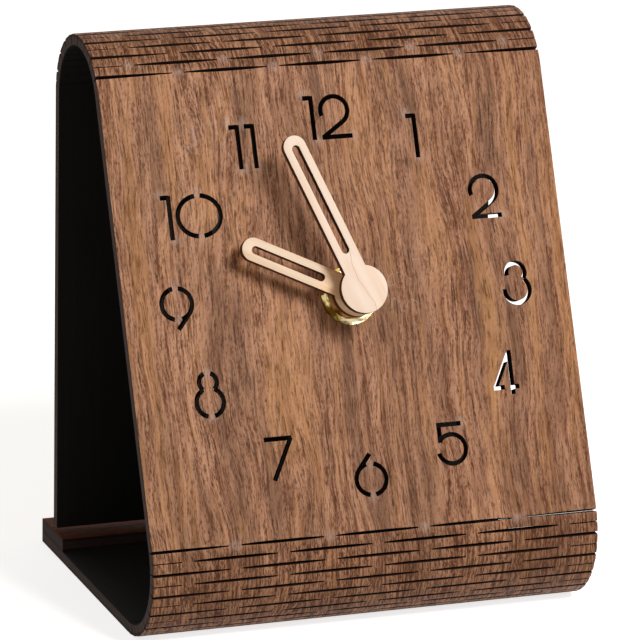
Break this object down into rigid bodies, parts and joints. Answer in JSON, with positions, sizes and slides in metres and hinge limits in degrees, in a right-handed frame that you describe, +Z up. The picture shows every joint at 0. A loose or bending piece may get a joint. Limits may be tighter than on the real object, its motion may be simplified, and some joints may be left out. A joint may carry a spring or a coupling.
{
  "type": "desk clock",
  "caption": "Desk clock of one kerf-bent walnut board with cut-through numerals, two slotted pale wooden hands and a battery quartz movement behind the leaning face.",
  "frame": {"origin": "middle of the clock's footprint, on the surface that it stands on", "axes": "+X to the right seen from the front, +Y to the back, +Z up"},
  "size_m": [0.12, 0.0947, 0.1452],
  "materials": {
    "walnut_board": "walnut veneer outside, black stain inside, laser-darkened edges",
    "pale_wood": "fine sanded pale wood with laser-darkened edges",
    "brass": "bright turned brass",
    "shaft_brass": "turned brass",
    "rubber": "matt black rubber",
    "wheel_plastic": "moulded white acetal",
    "spring_steel": "spring steel",
    "magnet": "sintered magnet",
    "knob_plastic": "moulded black plastic",
    "case_plastic": "moulded black plastic, finely sparked",
    "frame_plastic": "moulded grey plastic",
    "soft_iron": "pressed soft iron",
    "copper_wire": "enamelled copper wire",
    "circuit_board": "green solder mask",
    "crystal_can": "drawn steel can",
    "chip_resin": "black resin drop",
    "contact_metal": "nickel-plated strip",
    "battery_jacket": "plain blue jacket with bare steel ends"
  },
  "bodies": {
    "case": {"bent_board": "walnut_board", "retaining_strip": "walnut_board", "movement_case": "case_plastic", "threaded_bushing": "brass", "rubber_washer": "rubber", "brass_washer": "brass", "hex_nut": "brass", "stator": "soft_iron", "coil_core": "soft_iron", "coil_bobbin": "frame_plastic", "coil_winding": "copper_wire", "circuit_board": "circuit_board", "quartz_crystal": "crystal_can", "chip_cover": "chip_resin", "positive_contact": "contact_metal", "negative_contact": "contact_metal", "frame_plate": "frame_plastic", "back_cover": "case_plastic"},
    "minute_hand_group": {"minute_hand": "pale_wood", "minute_hand_bushing": "brass", "minute_shaft": "shaft_brass", "clutch_spring": "spring_steel"},
    "hour_hand_group": {"hour_hand": "pale_wood", "hour_hand_bushing": "brass", "hour_wheel": "wheel_plastic"},
    "motion_wheel_group": {"motion_wheel": "wheel_plastic"},
    "setting_group": {"setting_shaft": "wheel_plastic", "setting_knob": "knob_plastic"},
    "rotor_group": {"rotor_pinion": "wheel_plastic", "rotor_magnet": "magnet"},
    "intermediate_group": {"intermediate_wheel": "wheel_plastic"},
    "seconds_group": {"seconds_wheel": "wheel_plastic"},
    "third_group": {"third_wheel": "wheel_plastic"},
    "centre_group": {"centre_wheel": "wheel_plastic"},
    "battery_group": {"battery_cell": "battery_jacket"}
  },
  "joints": [
    {"name": "minute_hand_turn", "type": "hinge", "parent": "case", "child": "minute_hand_group", "pos_m": [0, -0.02169, 0.08263], "axis": [0, 0.9153, -0.4027], "continuous": true},
    {"name": "hour_hand_turn", "type": "hinge", "parent": "case", "child": "hour_hand_group", "pos_m": [0, -0.02169, 0.08263], "axis": [0, 0.9153, -0.4027], "continuous": true},
    {"name": "motion_wheel_turn", "type": "hinge", "parent": "case", "child": "motion_wheel_group", "pos_m": [-0.0084, -0.02169, 0.08263], "axis": [0, 0.9153, -0.4027], "continuous": true},
    {"name": "setting_knob_turn", "type": "hinge", "parent": "case", "child": "setting_group", "pos_m": [-0.0168, -0.02169, 0.08263], "axis": [0, 0.9153, -0.4027], "continuous": true},
    {"name": "rotor_turn", "type": "hinge", "parent": "case", "child": "rotor_group", "pos_m": [-0.01105, -0.01701, 0.09328], "axis": [0, 0.9153, -0.4027], "continuous": true},
    {"name": "intermediate_wheel_turn", "type": "hinge", "parent": "case", "child": "intermediate_group", "pos_m": [-0.00455, -0.01852, 0.08985], "axis": [0, 0.9153, -0.4027], "continuous": true},
    {"name": "seconds_wheel_turn", "type": "hinge", "parent": "case", "child": "seconds_group", "pos_m": [0, -0.02169, 0.08263], "axis": [0, 0.9153, -0.4027], "continuous": true},
    {"name": "third_wheel_turn", "type": "hinge", "parent": "case", "child": "third_group", "pos_m": [0.009, -0.02169, 0.08263], "axis": [0, 0.9153, -0.4027], "continuous": true},
    {"name": "centre_wheel_turn", "type": "hinge", "parent": "case", "child": "centre_group", "pos_m": [0, -0.02169, 0.08263], "axis": [0, 0.9153, -0.4027], "continuous": true},
    {"name": "battery_slide", "type": "slide", "parent": "case", "child": "battery_group", "axis": [0, 0.9153, -0.4027], "range_m": [0, 0.02]}
  ],
  "couplings": [
    {"joint": "hour_hand_turn", "follows": "minute_hand_turn", "ratio": 0.083333},
    {"joint": "motion_wheel_turn", "follows": "minute_hand_turn", "ratio": -0.33333},
    {"joint": "setting_knob_turn", "follows": "minute_hand_turn", "ratio": 1},
    {"joint": "intermediate_wheel_turn", "follows": "rotor_turn", "ratio": -0.2},
    {"joint": "seconds_wheel_turn", "follows": "rotor_turn", "ratio": 0.033333},
    {"joint": "third_wheel_turn", "follows": "rotor_turn", "ratio": -0.0044444},
    {"joint": "centre_wheel_turn", "follows": "rotor_turn", "ratio": 0.00055556}
  ]
}
